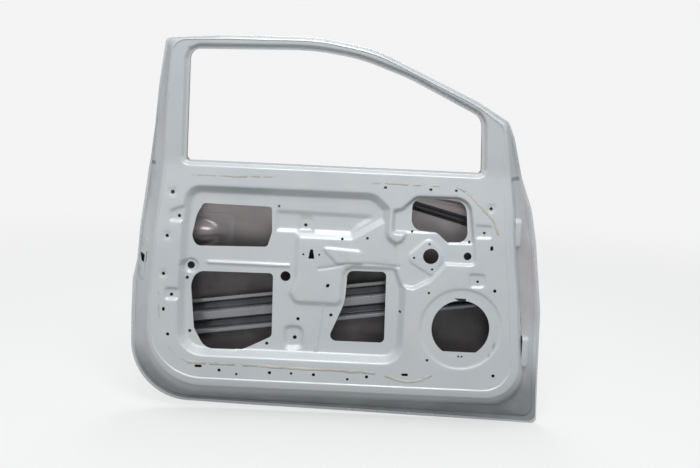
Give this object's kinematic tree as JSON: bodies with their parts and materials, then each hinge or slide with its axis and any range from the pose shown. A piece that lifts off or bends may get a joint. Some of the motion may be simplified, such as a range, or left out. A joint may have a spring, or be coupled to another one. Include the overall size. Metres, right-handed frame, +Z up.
{
  "type": "car door shell",
  "caption": "Bare painted steel shell of a left front car door with its window frame, service openings, speaker seat, hinge pads and latch seat.",
  "frame": {"origin": "centre of the upper hinge pad's bolting face, on the front edge of the door", "axes": "+X towards the front of the car and out of the hinge pads, +Y from the cabin to the street, +Z up with the door shut in a car on level ground"},
  "size_m": [1.2597, 0.1953, 1.1347],
  "materials": {
    "shell_paint": "semi-gloss silver body paint over a thin overspray",
    "primer": "satin dip primer with paint mist",
    "zinc": "yellow zinc plate",
    "mastic": "matt black baked mastic"
  },
  "bodies": {
    "root": {"inner_panel": "shell_paint", "outer_skin": "shell_paint", "glass_run_channel": "primer", "side_impact_beam": "primer", "beam_rear_bracket": "primer", "beam_front_bracket": "primer", "belt_reinforcement_inner": "primer", "belt_reinforcement_outer": "primer", "front_brace": "primer", "handle_reinforcement": "primer", "upper_hinge_reinforcement": "primer", "lower_hinge_reinforcement": "primer", "check_strap_reinforcement": "primer", "latch_reinforcement": "primer", "upper_hinge_nut_upper": "zinc", "upper_hinge_nut_lower": "zinc", "lower_hinge_nut_upper": "zinc", "lower_hinge_nut_lower": "zinc", "check_strap_nut_upper": "zinc", "check_strap_nut_lower": "zinc", "mastic_pad_1": "mastic", "mastic_pad_2": "mastic", "mastic_pad_3": "mastic", "mastic_pad_4": "mastic"}
  },
  "joints": []
}
